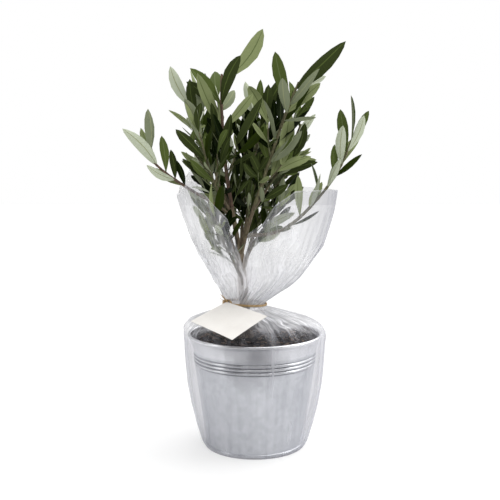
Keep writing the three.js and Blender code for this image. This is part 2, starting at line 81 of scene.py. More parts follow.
class Finish:
    # The nodes of one material, or of the world.
    def __init__(self, name, owners=bpy.data.materials):
        self.owner = owners.new(name)
        self.owner.use_nodes = True
        self.tree = self.owner.node_tree
        self.tree.nodes.clear()

    def add(self, kind, settings=None, sockets=None, out=0):
        node = self.tree.nodes.new("ShaderNode" + kind)
        for key, value in (settings or {}).items():
            setattr(node, key, value)
        for key, value in (sockets or {}).items():
            self.plug(node.inputs[key], value)
        return Wire(self, node.outputs[out]) if node.outputs else node

    def plug(self, socket, value):
        if isinstance(value, Wire):
            self.tree.links.new(value.socket, socket)
        elif isinstance(value, tuple) and len(value) == 3 and len(socket.default_value) == 4:
            socket.default_value = (*value, 1)
        else:
            socket.default_value = value

    def work(self, operation, *values):
        return self.add("Math", {"operation": operation}, dict(enumerate(values)))

    def place(self, kind="Object"):
        return self.add("TexCoord", out=kind)

    def axis(self, place, out):
        return self.add("SeparateXYZ", sockets={0: place}, out=out)

    def level(self, colour):
        return self.add("SeparateColor", sockets={0: colour})

    def stretched(self, place, scale):
        return self.add("Mapping", sockets={"Vector": place, "Scale": scale})

    def noise(self, place, scale, detail=2, roughness=0.5, distortion=0, out=0):
        sockets = {"Vector": place, "Scale": scale, "Detail": detail, "Roughness": roughness,
                   "Distortion": distortion}
        return self.add("TexNoise", sockets=sockets, out=out)

    def cells(self, place, scale, feature="F1", out="Distance"):
        return self.add("TexVoronoi", {"feature": feature}, {"Vector": place, "Scale": scale}, out)

    def ramp(self, value, low, high, kind="LINEAR"):
        return self.add("MapRange", {"clamp": True, "interpolation_type": kind},
                        {"Value": value, "From Min": low, "From Max": high})

    def blend(self, share, first, second):
        return self.add("Mix", {"data_type": "RGBA"}, {0: share, 6: first, 7: second}, out=2)

    def bump(self, height, strength, distance):
        return self.add("Bump", sockets={"Height": height, "Strength": strength, "Distance": distance})

    def surface(self, **sockets):
        plain = {key.replace("_", " "): value for key, value in sockets.items()}
        return self.add("BsdfPrincipled", sockets=plain)

    def finish(self, shader):
        self.add("OutputMaterial", sockets={"Surface": shader})
        return self.owner

    def coat(self, **sockets):
        return self.finish(self.surface(**sockets))


def addObject(name, data):
    thing = bpy.data.objects.new(name, data)
    scene.collection.objects.link(thing)
    return thing


def addPiece(name, mesh, finishes, nodes):
    for finish in finishes:
        mesh.materials.append(finish)
    piece = addObject(name, mesh)
    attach(piece, "root")
    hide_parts(*nodes)
    print(name, len(mesh.polygons), "faces")


def meshFrom(shape, name):
    mesh = bpy.data.meshes.new(name)
    bmesh.ops.scale(shape, vec=(metre, metre, metre), verts=shape.verts)
    shape.to_mesh(mesh)
    shape.free()
    return mesh


def smooth(mesh, sharpFrom=None):
    mesh.polygons.foreach_set("use_smooth", [True] * len(mesh.polygons))
    if sharpFrom:
        mesh.set_sharp_from_angle(angle=radians(sharpFrom))
    mesh.update()


def addShape(name, shape, sharpFrom, finishes, nodes):
    mesh = meshFrom(shape, name)
    smooth(mesh, sharpFrom)
    addPiece(name, mesh, finishes, nodes)


def spinOutline(outline, steps):
    # An outline of (radius, height), turned once round the Z axis.
    shape = bmesh.new()
    marks = [shape.verts.new((radius, 0, height)) for radius, height in outline]
    for first, second in zip(marks, marks[1:]):
        shape.edges.new((first, second))
    bmesh.ops.spin(shape, geom=shape.verts[:] + shape.edges[:], cent=(0, 0, 0), axis=(0, 0, 1),
                   angle=tau, steps=steps, use_merge=True, use_duplicate=False)
    bmesh.ops.remove_doubles(shape, verts=shape.verts, dist=1e-3)
    bmesh.ops.recalc_face_normals(shape, faces=shape.faces)
    return shape


def arc(centre, radius, start, end, steps):
    turns = np.radians(np.linspace(start, end, steps + 1))
    return [(centre[0] + radius * cos(turn), centre[1] + radius * sin(turn)) for turn in turns]


def tubes(name, runs, sides):
    # Round tubes along runs of (point, radius), as one mesh in millimetres.
    curve = bpy.data.curves.new(name, "CURVE")
    curve.dimensions = "3D"
    curve.bevel_depth = 1
    curve.bevel_resolution = (sides - 4) // 2
    curve.use_fill_caps = True
    for run in runs:
        spline = curve.splines.new("POLY")
        spline.points.add(len(run) - 1)
        for mark, (point, radius) in zip(spline.points, run):
            mark.co = (*point, 1)
            mark.radius = radius
    holder = addObject(name, curve)
    graph = bpy.context.evaluated_depsgraph_get()
    mesh = bpy.data.meshes.new_from_object(holder.evaluated_get(graph))
    bpy.data.objects.remove(holder)
    bpy.data.curves.remove(curve)
    shape = bmesh.new()
    shape.from_mesh(mesh)
    bpy.data.meshes.remove(mesh)
    return shape


def between(stations, at):
    return np.interp(at, *zip(*stations))


def lerp(pair, share):
    return pair[0] + (pair[1] - pair[0]) * share


def seededDraw(seed):
    state = seed

    def draw(low, high):
        nonlocal state
        state = state * 16807 % 2147483647
        return low + (high - low) * (state / 2147483647)

    return draw


view = {"place": (-4.5, -700, 254.2), "down": 5.6, "lens": 53.7, "nearest": 0.02}
studio = {"sky": 1.0, "front": 0.22, "back": 0.7, "greyFrom": -0.75, "greyTo": 0.1, "side": 0.15,
          "top": 0.85, "topFrom": 0.25, "topTo": 0.65, "sun": 2.8, "sunSpread": 75,
          "sunTurn": (-22, 28, 0), "floor": 0.34, "floorGlow": 0.56, "floorSize": 6000}
# Each window's place, aim, size and power, in metres and watts.
windows = {
    "left window": ((-1.3, -0.5, 0.7), (0, 0, 0.15), (0.5, 1.3), 2.5),
    "right window": ((1.4, -0.2, 0.8), (0, 0, 0.15), (0.4, 1.3), 4.3),
    "key": ((0.15, -0.75, 1.2), (0, 0, 0.2), (1.3, 0.45), 4.6),
}


def setCamera():
    lens = bpy.data.cameras.new("camera")
    lens.lens = view["lens"]
    lens.clip_start = view["nearest"]
    camera = addObject("camera", lens)
    camera.location = Vector(view["place"]) * metre
    camera.rotation_euler = (radians(90 - view["down"]), 0, 0)
    scene.camera = camera


def setSky():
    # Plain white to look at. Its light is greyer low in front and a little weaker from the left.
    sky = Finish("studio", bpy.data.worlds)
    scene.world = sky.owner
    place = sky.place("Generated")
    back = sky.ramp(sky.axis(place, 1), studio["greyFrom"], studio["greyTo"], "SMOOTHSTEP")
    level = studio["front"] + back * (studio["back"] - studio["front"])
    level = level + sky.axis(place, 0) * studio["side"]
    high = sky.ramp(sky.axis(place, 2), studio["topFrom"], studio["topTo"], "SMOOTHSTEP")
    level = level * (1 - high) + studio["top"] * high
    seen = sky.add("LightPath", out="Is Camera Ray")
    power = level * (1 - seen) + studio["sky"] * seen
    light = sky.add("Background", sockets={"Color": (1, 1, 1), "Strength": power})
    sky.add("OutputWorld", sockets={"Surface": light})


def addFloor():
    shape = bmesh.new()
    bmesh.ops.create_grid(shape, x_segments=1, y_segments=1, size=studio["floorSize"])
    floor = addObject("floor", meshFrom(shape, "floor"))
    paint = Finish("white floor")
    glow = {"Emission_Color": (1, 1, 1), "Emission_Strength": studio["floorGlow"]}
    floor.data.materials.append(paint.coat(Base_Color=(studio["floor"],) * 3, Roughness=1.0, **glow))


def addWindow(name, place, aim, size, power):
    light = bpy.data.lights.new(name, "AREA")
    light.shape = "RECTANGLE"
    light.size, light.size_y = size
    light.energy = power
    lamp = addObject(name, light)
    lamp.location = place
    lamp.rotation_euler = (Vector(aim) - Vector(place)).to_track_quat("-Z", "Y").to_euler()


def addSun():
    light = bpy.data.lights.new("top", "SUN")
    light.energy = studio["sun"]
    light.angle = radians(studio["sunSpread"])
    addObject("top", light).rotation_euler = [radians(turn) for turn in studio["sunTurn"]]


setCamera()
setSky()
addFloor()
for name, window in windows.items():
    addWindow(name, *window)
addSun()
scene.view_settings.view_transform = "Standard"
scene.cycles.transparent_max_bounces = 48
print("studio set")


pot = {"base": 46.5, "recess": 1.4, "floor": 2.2, "wall": 1.2, "beadRadius": 1.3, "ridgePitch": 3.3,
       "ridgeHeight": 84, "ridgeRadius": 57.5, "ridge": 1.4, "rimRadius": 1.5, "turns": 160}


def potOutline():
    low, high = boxOf("pot")
    foot, top = low.z, high.z
    base, bead, curl = pot["base"], pot["beadRadius"], pot["rimRadius"]
    pitch, middle, wall = pot["ridgePitch"], pot["ridgeHeight"], pot["ridgeRadius"]
    rim = high.x - curl
    under = foot + pot["recess"]
    outline = [(0, under), (base - 5, under), (base - 3, foot), (base - 0.4, foot)]
    outline += arc((base - 0.3, foot + bead), bead, -80, 70, 6)
    outline += [(base + 0.4, foot + 4.2), (wall - 0.4, middle - 1.9 * pitch)]
    for rung in (-1, 0, 1):
        outline += arc((wall - 0.55 + 0.25 * rung, middle + rung * pitch), pot["ridge"], -62, 62, 6)
    outline += [(wall + 0.5, middle + 1.9 * pitch), (rim - 1.1, top - 5.5)]
    outline += arc((rim, top - curl), curl, -70, 200, 12)
    floor = foot + pot["floor"]
    outline += [(rim - 1.7, top - 4.5), (wall - pot["wall"], middle)]
    return outline + [(base - pot["wall"], floor), (0, floor)]


# The collar, crest and patch tones are painted highlights and reflections, and the groove tone is painted
# shade, centred on the given place at the front.
zincTones = {"dark": (0.585, 0.602, 0.622), "light": (0.735, 0.75, 0.772), "collar": (0.93, 0.935, 0.95),
             "crestHighlight": (0.92, 0.92, 0.92), "grooveShade": (0.03, 0.03, 0.028), "patch": (0.22, 0.22, 0.225),
             "paintedDarkAt": (-0.002, -0.064, 0.099)}


def zincFinish():
    # Spangled and softly clouded zinc, with painted light: a brighter collar and bright ridge crests as
    # painted highlights, painted shade in the grooves between the ridges, strongest at the front, and a
    # dark painted reflection on the front of the collar.
    zinc = Finish("galvanised zinc")
    place = zinc.place()
    grain = zinc.level(zinc.cells(place, 210, out="Color"))
    clouds = zinc.noise(place, 30, 4, 0.6)
    drawn = zinc.noise(zinc.stretched(place, (1, 1, 0.05)), 700)
    tone = zinc.ramp(clouds * 0.66 + grain * 0.2 + drawn * 0.14, 0.3, 0.7)
    colour = zinc.blend(tone, zincTones["dark"], zincTones["light"])
    height = zinc.axis(place, 2)
    # Painted reflection: the collar above the ridges is painted brighter than the body.
    colour = zinc.blend(zinc.ramp(height, 0.090, 0.093) * 0.8, colour, zincTones["collar"])
    rung = (height - pot["ridgeHeight"] * metre) / (pot["ridgePitch"] * metre)
    among = 1 - zinc.ramp(zinc.work("ABSOLUTE", rung), 1.55, 1.75)
    crest = zinc.work("COSINE", rung * tau - 0.7) * 0.5 + 0.5
    valley = zinc.work("COSINE", rung * tau) * -0.5 + 0.5
    # Painted highlight on the upper side of each ridge crest.
    colour = zinc.blend(crest ** 3 * among * 0.8, colour, zincTones["crestHighlight"])
    away = zinc.add("VectorMath", {"operation": "DISTANCE"}, {0: place, 1: zincTones["paintedDarkAt"]}, 1)
    # Painted shade in the grooves between the ridges, strongest near the front of the collar.
    grooveShade = 1 - zinc.ramp(away, 0.02, 0.065) * 0.6
    colour = zinc.blend(valley ** 4 * among * grooveShade, colour, zincTones["grooveShade"])
    # Painted reflection: a dark patch on the front of the collar.
    patch = 1 - zinc.ramp(away + zinc.noise(place, 40, 1) * 0.03, 0.018, 0.050)
    colour = zinc.blend(patch, colour, zincTones["patch"])
    rough = 0.17 + 0.05 * clouds + 0.03 * grain + 0.04 * drawn - 0.07 * among
    relief = zinc.bump(zinc.noise(zinc.stretched(place, (1, 1, 0.35)), 26, 1), 0.05, 0.003)
    return zinc.coat(Base_Color=colour, Metallic=0.92, Roughness=rough, Normal=relief)


addShape("zinc_pot", spinOutline(potOutline(), pot["turns"]), 50, [zincFinish()], ["pot"])


soil = {"crumbs": 520, "crumb": (0.8, 2.2), "chips": 170, "chip": (2.2, 5), "relief": 1.6, "fall": 3.6,
        "fleck": (0.075, 0.05, 0.032), "seed": 41}


def soilFinish(name, dark, light):
    earth = Finish(name)
    place = earth.place()
    grains = earth.noise(place, 420, 4, 0.65)
    flecks = earth.ramp(earth.noise(place, 900, 1), 0.6, 0.72)
    colour = earth.blend(earth.ramp(grains, 0.35, 0.7), dark, light)
    colour = earth.blend(flecks, colour, soil["fleck"])
    relief = earth.bump(grains, 0.8, 0.0012)
    return earth.coat(Base_Color=colour, Roughness=0.75 + 0.2 * grains, Normal=relief)


def soilHeight(x, y):
    low, high = boxOf("soil")
    share = min(hypot(x, y) / high.x, 1)
    rough = noise.fractal(Vector((x, y, 0)) * 0.16, 1, 2, 4)
    return high.z - soil["fall"] * share ** 2 + soil["relief"] * rough * (1 - share ** 8) - 1


def makeSoil():
    low, high = boxOf("soil")
    shape = bmesh.new()
    bmesh.ops.create_circle(shape, cap_ends=True, cap_tris=True, segments=72, radius=high.x)
    bmesh.ops.subdivide_edges(shape, edges=shape.edges[:], cuts=11, use_grid_fill=True)
    for vert in shape.verts:
        vert.co.z = soilHeight(vert.co.x, vert.co.y)
    draw = seededDraw(soil["seed"])

    def makeLump(margin, least, sizes):
        reach = (high.x - margin) * sqrt(draw(least, 1))
        turn = draw(0, tau)
        size = draw(*sizes)
        lump = bmesh.ops.create_icosphere(shape, subdivisions=1, radius=size)["verts"]
        return lump, size, reach * cos(turn), reach * sin(turn)

    def layLump(lump, x, y, rise):
        bmesh.ops.rotate(shape, matrix=Matrix.Rotation(draw(0, 3), 3, "Z"), verts=lump)
        bmesh.ops.translate(shape, vec=(x, y, soilHeight(x, y) + rise), verts=lump)

    for _ in range(soil["crumbs"]):
        crumb, size, x, y = makeLump(4, 0, soil["crumb"])
        for vert in crumb:
            vert.co *= draw(0.75, 1.1)
        bmesh.ops.scale(shape, vec=(draw(0.8, 1.5), draw(0.7, 1.1), draw(0.5, 0.9)), verts=crumb)
        layLump(crumb, x, y, size * 0.1)
    for _ in range(soil["chips"]):
        # flat splinters of bark, laid at any angle
        chip, size, x, y = makeLump(7, 0.02, soil["chip"])
        bmesh.ops.scale(shape, vec=(1, draw(0.25, 0.5), draw(0.14, 0.24)), verts=chip)
        bmesh.ops.rotate(shape, matrix=Matrix.Rotation(draw(-0.5, 0.5), 3, "Y"), verts=chip)
        layLump(chip, x, y, 0.7)
        for face in {face for vert in chip for face in vert.link_faces}:
            face.material_index = 1
    finishes = [soilFinish("moist compost", (0.003, 0.0025, 0.002), (0.020, 0.014, 0.010)),
                soilFinish("bark splinters", (0.05, 0.033, 0.022), (0.24, 0.17, 0.12))]
    addShape("soil_mound", shape, 40, finishes, ["soil"])


makeSoil()


trunk = {"way": [(-6, 0, 97), (-8.5, 0, 122), (-11, 0, 150), (-14, 0, 182)], "radii": (7.5, 4.9, 4)}
# A limb springs from another at a share of its length and runs through its way points to its tip. Past the
# share called bare it carries leaves. It has shed a share of them, picked by a seed, and it deals out
# their tones by the seed called dealt.
usual = {"from": "trunk", "bare": 0.3, "radii": (1.6, 0.8), "pairs": 7, "leaf": (36, 42),
         "spread": (50, 28), "turn": 135, "lift": 0.15, "twigs": 4}
limbs = [{**usual, **limb} for limb in (
    {"name": "left_leader", "at": 1, "bare": 0.27, "radii": (2.4, 1.1),
     "way": [(-21.4, -5, 226), (-27, -7, 265), (-30.4, -8, 316), (-30.3, -8, 347.5)],
     "pairs": 6, "leaf": (36, 60), "spread": (50, 42), "turn": 120, "lift": 0.1, "twigs": 2, "seed": 701,
     "shed": (0.1, 68), "dealt": 7590},
    {"name": "right_leader", "at": 0.97, "radii": (2.2, 1),
     "way": [(-6.4, -3, 208), (2.9, -6, 237), (17.4, -10, 280.5), (27, -10, 309), (39.8, -10, 340)],
     "leaf": (36, 58), "spread": (52, 30), "lift": 0.05, "twigs": 3, "seed": 284,
     "shed": (0.2, 136), "dealt": 5637},
    {"name": "left_arm", "from": "left_leader", "at": 0.2, "bare": 0.36,
     "way": [(-31.7, -13, 226), (-58.9, -22, 243), (-78, -25, 256), (-92, -27, 268.6),
             (-103.4, -28, 284.5)],
     "leaf": (30, 46), "spread": (54, 28), "turn": 45, "lift": 0.45, "twigs": 0, "seed": 343,
     "shed": (0.35, 170), "dealt": 4059},
    {"name": "right_arm", "from": "right_leader", "at": 0.12, "bare": 0.26, "radii": (1.8, 0.8),
     "way": [(17.8, -8, 202.4), (37.9, -12, 214), (60.7, -12, 237.6), (77.8, -11, 262),
             (90.3, -12, 292.6)],
     "pairs": 9, "leaf": (36, 38), "spread": (54, 28), "turn": 60, "lift": 0.2, "twigs": 0, "seed": 371,
     "shed": (0.05, 7), "dealt": 2758},
    {"name": "upper_left", "from": "left_leader", "at": 0.24,
     "way": [(-34, 4, 250), (-46, 8, 284), (-60, 10, 322)], "pairs": 6, "leaf": (38, 48),
     "spread": (46, 24), "seed": 16, "shed": (0.5, 157), "dealt": 6508},
    {"name": "inner_left", "from": "left_leader", "at": 0.22, "bare": 0.32, "radii": (1.5, 0.8),
     "way": [(-33, -18, 240), (-43, -24, 266), (-48, -28, 288)], "pairs": 6, "leaf": (34, 40),
     "spread": (50, 30), "twigs": 3, "seed": 167, "shed": (0.5, 22), "dealt": 2916},
    {"name": "centre", "at": 0.93, "radii": (1.9, 0.8),
     "way": [(-8, 12, 212), (-3, 16, 252), (3, 16, 288), (8, 16, 314)], "pairs": 8,
     "spread": (48, 26), "turn": 60, "twigs": 5, "seed": 297, "shed": (0.1, 125), "dealt": 4212},
    {"name": "inner_right", "from": "right_leader", "at": 0.27, "bare": 0.25, "radii": (1.5, 0.8),
     "way": [(16, 6, 250), (32, 13, 278), (44, 16, 304)], "pairs": 6, "turn": 75, "twigs": 3,
     "seed": 119, "shed": (0.4, 42), "dealt": 8692},
    {"name": "low_left", "at": 0.7, "way": [(-22, -8, 180), (-34, -14, 202), (-44, -16, 228)],
     "pairs": 5, "leaf": (30, 36), "spread": (48, 30), "turn": 75, "twigs": 2, "seed": 226,
     "shed": (0.1, 1), "dealt": 7750},
    {"name": "low_right", "at": 0.84, "way": [(0, 14, 192), (16, 20, 214), (30, 22, 240)],
     "pairs": 5, "leaf": (32, 38), "spread": (48, 30), "turn": 60, "twigs": 3, "seed": 303,
     "shed": (0.1, 3), "dealt": 1687},
    {"name": "back_left", "at": 0.8, "radii": (2, 0.8),
     "way": [(-26, 20, 202), (-40, 36, 244), (-50, 46, 282), (-54, 50, 298)],
     "seed": 97, "shed": (0.1, 5), "dealt": 7364},
    {"name": "back_right", "at": 0.78, "radii": (2, 0.8),
     "way": [(2, 24, 206), (20, 42, 244), (36, 52, 280), (42, 55, 296)],
     "turn": 165, "seed": 375, "shed": (0.3, 23), "dealt": 1572},
    {"name": "back_centre", "at": 0.88, "radii": (2, 0.8),
     "way": [(-12, 24, 210), (-10, 42, 250), (-6, 56, 290), (-4, 60, 304)],
     "turn": 75, "seed": 155, "shed": (0.1, 18), "dealt": 2880},
)]
masses = ["leaves_" + limb["name"] for limb in limbs]
stray = {"turn": (-22, 22), "spread": (-12, 12), "length": (0.8, 1.14), "roll": (-90, 90),
         "bend": (-12, 34)}
room = {"clearance": 2, "film": 3, "sample": 0.5, "young": 0.3, "firstGap": 6, "blade": 0.21,
        "aboveTie": 12, "widest": 8, "samples": 90000}
# How leaves grow on a limb, on the part's own twigs, on young shoots in the leaf axils, and on longer
# shoots from the limbs themselves, which fill the crown's heart.
limbRule = {"lastPair": 0.96, "scale": 1}
twigRule = {"last": 0.8, "firstTurn": 45, "nextTurn": 137.5, "stray": (-20, 20), "spread": 38,
            "length": (26, 38), "bend": 18, "radii": (0.9, 0.6), "pairs": 3, "within": (0.4, 0.97),
            "scale": 0.85}
shootRule = {"odds": 0.16, "last": 0.7, "stray": (-0.3, 0.3), "length": (9, 17), "spread": 30, "bend": 14,
             "radii": (0.5, 0.35), "pairs": 2, "within": (0.45, 0.95), "leaf": (10, 15), "scale": 1,
             "clearance": 0.8, "seed": 5}
heartRule = {**shootRule, "shoots": 9, "from": (0.2, 0.62), "nextTurn": 2.4, "stray": (-0.5, 0.5),
             "length": (13, 26), "spread": 40, "pairs": 3, "leaf": (20, 27), "seed": 12}

# The film's outline, which the leaves keep off: reach by height, and the free edge's height by angle.
tieHeight = 135.3
neck = {"x": -9.5, "wide": 19, "deep": 15}
film = {
    "skirt": [(0, 48.5), (5, 51.5), (22, 56.5), (40, 61), (60, 64.5), (80, 66.3), (107, 67.8), (114, 65.5),
              (119.5, 58), (125, 42), (129, 29), (131.3, 19.8), (tieHeight, neck["wide"])],
    "flare": [(tieHeight, neck["wide"]), (139, 20), (143, 25.5), (150, 32.5), (162, 43), (176, 52),
              (190, 60.4), (205, 66), (218, 70), (232, 73.5), (245, 75.5), (275, 78)],
    "axis": [(tieHeight, neck["x"]), (150, -1.5), (162, 1.6), (190, 3.4), (245, 1.6)],
    "edge": [(0, 242), (45, 244), (90, 247), (127, 264), (138, 273), (154, 256), (180, 237), (203, 240),
             (218, 250), (224, 250), (238, 229), (247, 218), (255, 177), (262, 205), (273, 213), (282, 230),
             (297, 242), (330, 243), (360, 242)],
    "ovalFrom": 116, "potTop": 107, "depth": 0.8,
    # how much the film hides, by height
    "cover": [(0, 0.2), (8, 0.12), (100, 0.12), (107, 0.3), (111, 0.4), (118, 0.5), (125, 0.8), (129, 1.0),
              (133, 1.1), (140, 1.1), (152, 0.95), (164, 0.86), (178, 0.76), (192, 0.66), (208, 0.58),
              (228, 0.52), (275, 0.48)],
}
flareAxis, flareWide = (partial(between, film[line]) for line in ("axis", "flare"))
lineSteps = 60


class Line:
    # A smooth line through way points, walked by share of its length.
    def __init__(self, way):
        way = np.array(way, float)
        ends = np.vstack([2 * way[0] - way[1], way, 2 * way[-1] - way[-2]])
        spans = len(way) - 1
        marks = np.arange(lineSteps + 1) / lineSteps * spans
        first = np.minimum(marks.astype(int), spans - 1)
        t = (marks - first)[:, None]
        a, b, c, d = (ends[first + k] for k in range(4))
        into, away = 0.5 * (c - a), 0.5 * (d - b)
        square, cube = 3 * (c - b) - 2 * into - away, 2 * (b - c) + into + away
        self.points = b + into * t + square * t ** 2 + cube * t ** 3
        steps = np.linalg.norm(np.diff(self.points, axis=0), axis=1)
        self.lengths = np.concatenate([[0], np.cumsum(steps)])
        self.length = self.lengths[-1]

    def pointAt(self, share):
        goal = min(max(share, 0), 1) * self.length
        return np.array([np.interp(goal, self.lengths, self.points[:, k]) for k in range(3)])

    def directionAt(self, share):
        ahead = self.pointAt(min(share + 0.02, 1)) - self.pointAt(max(share - 0.02, 0))
        return ahead / np.linalg.norm(ahead)


def turned(vector, axis, angle):
    return np.array(Matrix.Rotation(angle, 3, Vector(axis)) @ Vector(vector))


def unit(vector):
    return vector / np.linalg.norm(vector)


def bladeWidth(share):
    return np.maximum(0.12, np.maximum(np.sin(pi * share ** 0.82), 0) ** 0.8)


def leafPoint(leaf, share, across):
    turn = leaf["bend"] * share
    straight = abs(leaf["bend"]) < 1e-3
    ahead = share if straight else np.sin(turn) / leaf["bend"]
    rise = 0 * share if straight else (1 - np.cos(turn)) / leaf["bend"]
    point = leaf["base"] + np.multiply.outer(ahead * leaf["length"], leaf["axis"])
    point = point + np.multiply.outer(rise * leaf["length"], leaf["face"])
    return point + np.multiply.outer(across * leaf["width"] * 0.5 * bladeWidth(share), leaf["side"])


def makeLeaf(line, share, turn, spread, length, lift, roll, bend):
    along = line.directionAt(share)
    level = unit(np.cross(along, (0, 1, 0)))
    out = turned(level, along, turn)
    axis = along * cos(spread) + out * sin(spread)
    axis[2] += lift
    axis = unit(axis)
    face = turned(unit(along - axis * along.dot(axis)), axis, roll)
    return {"base": line.pointAt(share), "axis": axis, "face": face, "side": np.cross(axis, face),
            "length": length, "width": length * room["blade"], "bend": bend, "line": line, "share": share,
            "turn": turn}


def flareDepth(height):
    opened = np.minimum((height - tieHeight) / 20, 1)
    narrow = neck["deep"] / neck["wide"]
    return narrow + (film["depth"] - narrow) * opened


def edgeHeight(angle):
    return between(film["edge"], np.degrees(angle) % 360)


def nearFilm(points):
    height = points[:, 2]
    wide = flareWide(height)
    deep = wide * flareDepth(height)
    x, y = (points[:, 0] - flareAxis(height)) / wide, points[:, 1] / deep
    reached = height <= edgeHeight(np.arctan2(y, x)) + room["film"]
    return np.any(reached & (np.abs(np.hypot(x, y) - 1) * deep < room["film"]))


def leafSamples(leaf):
    shares, across = np.meshgrid(np.arange(1, 13) / 12, (-0.8, 0, 0.8), indexing="ij")
    return leafPoint(leaf, shares.ravel(), across.ravel())


class Taken:
    # Sample points with their own radii, each belonging to a limb, by which pieces keep apart.
    def __init__(self):
        self.points, self.radii = np.zeros((room["samples"], 3)), np.zeros(room["samples"])
        self.owner, self.owners, self.count = np.zeros(room["samples"], int), {}, 0

    def idOf(self, name):
        return self.owners.setdefault(name, len(self.owners))

    def take(self, name, points, radii):
        end = self.count + len(points)
        self.points[self.count:end] = points
        self.radii[self.count:end] = radii
        self.owner[self.count:end] = self.idOf(name)
        self.count = end

    def clear(self, name, points, radius, gap):
        if np.any(points[:, 2] < tieHeight + room["aboveTie"]) or nearFilm(points):
            return False
        middle = points.mean(0)
        reach = np.linalg.norm(points - middle, axis=1).max() + radius + gap + room["widest"]
        held = self.points[:self.count]
        near = ((held - middle) ** 2).sum(1) < reach ** 2
        near &= self.owner[:self.count] != self.idOf(name)
        if not near.any():
            return True
        apart = ((points[:, None, :] - held[near][None]) ** 2).sum(2)
        limit = (radius + self.radii[:self.count][near] + gap) ** 2
        return not np.any(apart < limit[None])

    def keep(self, name, leaves, radius, gap):
        # The leaves that have room, each of which takes its own before the next is tried.
        kept = []
        for leaf in leaves:
            samples = leafSamples(leaf)
            if self.clear(name, samples, radius, gap):
                self.take(name, samples, radius)
                kept.append(leaf)
        return kept


def trunkRadius(share):
    foot, plain, top = trunk["radii"]
    return plain + (top - plain) * share + (foot - plain) * max(0, 1 - share / 0.18) ** 2


def growPairs(limb, line, rule, draw):
    leaves = []
    for pair in range(rule["pairs"]):
        along = pair / (rule["pairs"] - 1)
        for half in (0, 180):
            turn = radians(limb["turn"] + half + pair * 90 + draw(*stray["turn"]))
            spread = radians(lerp(limb["spread"], along) + draw(*stray["spread"]))
            length = lerp(rule["leaf"], along) * draw(*stray["length"]) * rule["scale"]
            roll, bend = (radians(draw(*stray[way])) for way in ("roll", "bend"))
            share = lerp(rule["within"], along)
            leaves.append(makeLeaf(line, share, turn, spread, length, limb["lift"], roll, bend))
    return leaves


def growStem(limb, line, share, turn, length, rule):
    twig = makeLeaf(line, share, turn, radians(rule["spread"]), length, limb["lift"], 0,
                    radians(rule["bend"]))
    return Line([leafPoint(twig, step, 0) for step in (0, 0.5, 1)])


def growMass(limb, taken):
    draw = seededDraw(limb["seed"])
    name, line = limb["name"], limb["line"]
    firstPair = limb["bare"] + room["firstGap"] / line.length
    sprays = []

    def grow(line, rule, stem):
        leaves = growPairs(limb, line, {**rule, "leaf": limb["leaf"]}, draw)
        kept = taken.keep(name, leaves, room["sample"], room["clearance"])
        sprays.append({"limb": limb, "stem": stem, "leaves": kept})

    grow(line, {**limbRule, "pairs": limb["pairs"], "within": (firstPair, limbRule["lastPair"])}, None)
    for i in range(limb["twigs"]):
        share = firstPair + (twigRule["last"] - firstPair) * ((i + 0.5) / limb["twigs"])
        angle = limb["turn"] + twigRule["firstTurn"] + i * twigRule["nextTurn"]
        turn = radians(angle + draw(*twigRule["stray"]))
        stem = growStem(limb, line, share, turn, draw(*twigRule["length"]), twigRule)
        samples = np.array([stem.pointAt(0.2 + 0.1 * step) for step in range(9)])
        if taken.clear(name, samples, twigRule["radii"][0], room["clearance"]):
            taken.take(name, samples, twigRule["radii"][0])
            grow(stem, twigRule, stem)
    return sprays


def insideMass(limb, points):
    low, high = boxOf("leaves_" + limb["name"])
    return np.all(points >= np.array(low) - 1) and np.all(points <= np.array(high) + 1)


def growShoot(limb, line, share, turn, rule, draw):
    stem = growStem(limb, line, share, turn + draw(*rule["stray"]), draw(*rule["length"]), rule)
    return {"limb": limb, "stem": stem, "leaves": growPairs(limb, stem, rule, draw)}


def growShoots(sprays, taken):
    # Short shoots from the axils of the leaves, with small young leaves.
    draw = seededDraw(shootRule["seed"])
    shoots = []

    def fits(limb, samples):
        roomy = taken.clear(limb["name"], samples, room["young"], shootRule["clearance"])
        return roomy and insideMass(limb, samples)

    for spray in sprays:
        limb = spray["limb"]
        for leaf in spray["leaves"]:
            onTip = spray["stem"] is None and leaf["share"] > shootRule["last"]
            if draw(0, 1) > shootRule["odds"] or onTip or not limb["twigs"]:
                continue
            shoot = growShoot(limb, leaf["line"], leaf["share"], leaf["turn"], shootRule, draw)
            shoot["leaves"] = [young for young in shoot["leaves"] if fits(limb, leafSamples(young))]
            if shoot["leaves"]:
                shoots.append(shoot)
    return shoots


def growHeart(taken):
    # Shoots on the inner stretch of each limb, kept off what has grown already.
    draw = seededDraw(heartRule["seed"])
    fillers = []
    for limb in limbs:
        for i in range(heartRule["shoots"] if limb["twigs"] else 0):
            share = lerp(heartRule["from"], (i + draw(0, 1)) / heartRule["shoots"])
            shoot = growShoot(limb, limb["line"], share, i * heartRule["nextTurn"], heartRule, draw)
            kept = taken.keep("heart", shoot["leaves"], room["young"], shootRule["clearance"])
            if kept:
                fillers.append({**shoot, "leaves": kept})
    return fillers


